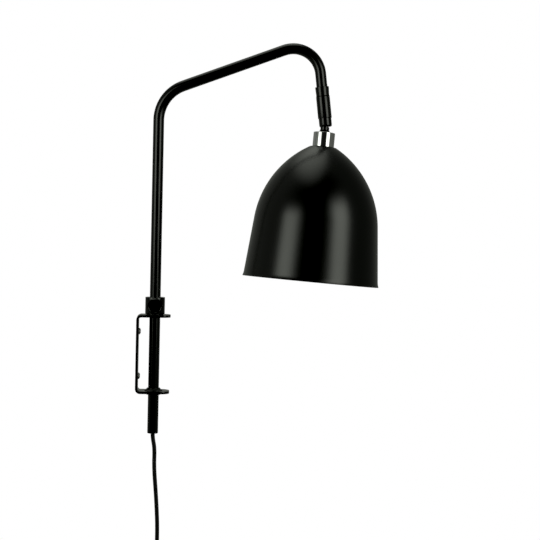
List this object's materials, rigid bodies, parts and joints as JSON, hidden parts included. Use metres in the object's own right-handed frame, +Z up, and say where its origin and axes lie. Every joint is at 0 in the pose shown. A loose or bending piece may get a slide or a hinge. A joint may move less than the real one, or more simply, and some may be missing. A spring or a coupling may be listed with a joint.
{
  "type": "swing-arm wall lamp",
  "caption": "Wall bracket with a bent tube arm that swings and slides, a ball-jointed metal bell shade with a lamp holder, and a switched plug-in cord.",
  "frame": {"origin": "wall face of the bracket's back, midway between the two wall screws", "axes": "+X out from the wall, +Z up along the tube, +Y to the wall's left as seen from the room"},
  "size_m": [0.3105, 0.1623, 0.8148],
  "materials": {
    "satin_black": "satin",
    "matt_black": "matt",
    "chrome_plate": "polished",
    "screw_steel": "zinc plated, satin",
    "spring_steel": "satin",
    "contact_brass": "plain",
    "black_plastic": "satin",
    "holder_plastic": "fine matt",
    "white_ceramic": "glazed",
    "cord_sheath": "smooth, soft sheen",
    "core_sleeve": "smooth",
    "plug_metal": "nickel plated"
  },
  "bodies": {
    "bracket": {"wall_bracket": "satin_black", "wall_screws": "screw_steel", "upper_bush": "black_plastic", "lower_bush": "black_plastic"},
    "collar": {"stop_collar": "satin_black", "clamp_pad": "contact_brass"},
    "knob": {"clamp_knob": "satin_black", "clamp_stud": "screw_steel"},
    "arm": {"arm_tube": "satin_black", "tube_end_grommet": "black_plastic", "inner_flex_arm": "cord_sheath", "joint_ferrule": "satin_black", "pan_nipple": "screw_steel", "supply_cord": "cord_sheath", "switch_base": "black_plastic", "switch_cover": "black_plastic", "switch_screws": "screw_steel", "switch_cord": "cord_sheath", "cord_coil": "cord_sheath", "coil_tie": "black_plastic", "plug_cord": "cord_sheath", "plug_boot": "black_plastic", "plug_body": "black_plastic", "plug_pins": "plug_metal"},
    "rocker": {"switch_rocker": "black_plastic"},
    "swivel": {"joint_body": "satin_black", "spacer_sleeve": "screw_steel", "disc_spring": "spring_steel", "ball_cup": "contact_brass", "joint_cap": "satin_black"},
    "head": {"ball_stud": "satin_black", "neck_nut": "satin_black", "chrome_cup": "chrome_plate", "shade": "matt_black", "crown_nut": "screw_steel", "holder_cap": "holder_plastic", "holder_skirt": "holder_plastic", "contact_base": "white_ceramic", "thread_shell": "contact_brass", "centre_contact": "contact_brass", "side_contact": "contact_brass", "terminal_screws": "screw_steel", "inner_flex_head": "cord_sheath", "core_wires": "core_sleeve"}
  },
  "joints": [
    {"name": "arm_swing", "type": "hinge", "parent": "bracket", "child": "collar", "pos_m": [0.022, 0, 0], "axis": [0, 0, 1], "range_deg": [-58, 82]},
    {"name": "arm_height", "type": "slide", "parent": "collar", "child": "arm", "axis": [0, 0, 1], "range_m": [-0.2, 0.04]},
    {"name": "knob_turn", "type": "hinge", "parent": "collar", "child": "knob", "pos_m": [0.022, -0.0185, 0.05845], "axis": [0, -1, 0], "range_deg": [0, 360]},
    {"name": "joint_pan", "type": "hinge", "parent": "arm", "child": "swivel", "pos_m": [0.21586, -0.03418, 0.3122], "axis": [0.1175, -0.0207, -0.9929], "range_deg": [-165, 165]},
    {"name": "head_tilt", "type": "hinge", "parent": "swivel", "child": "head", "pos_m": [0.21953, -0.03483, 0.28117], "axis": [0.005, -0.9998, 0.0214], "range_deg": [-4, 26]},
    {"name": "switch_press", "type": "hinge", "parent": "arm", "child": "rocker", "pos_m": [0.0299, -0.0075, -0.256], "axis": [-1, 0, 0], "range_deg": [0, 16]}
  ]
}
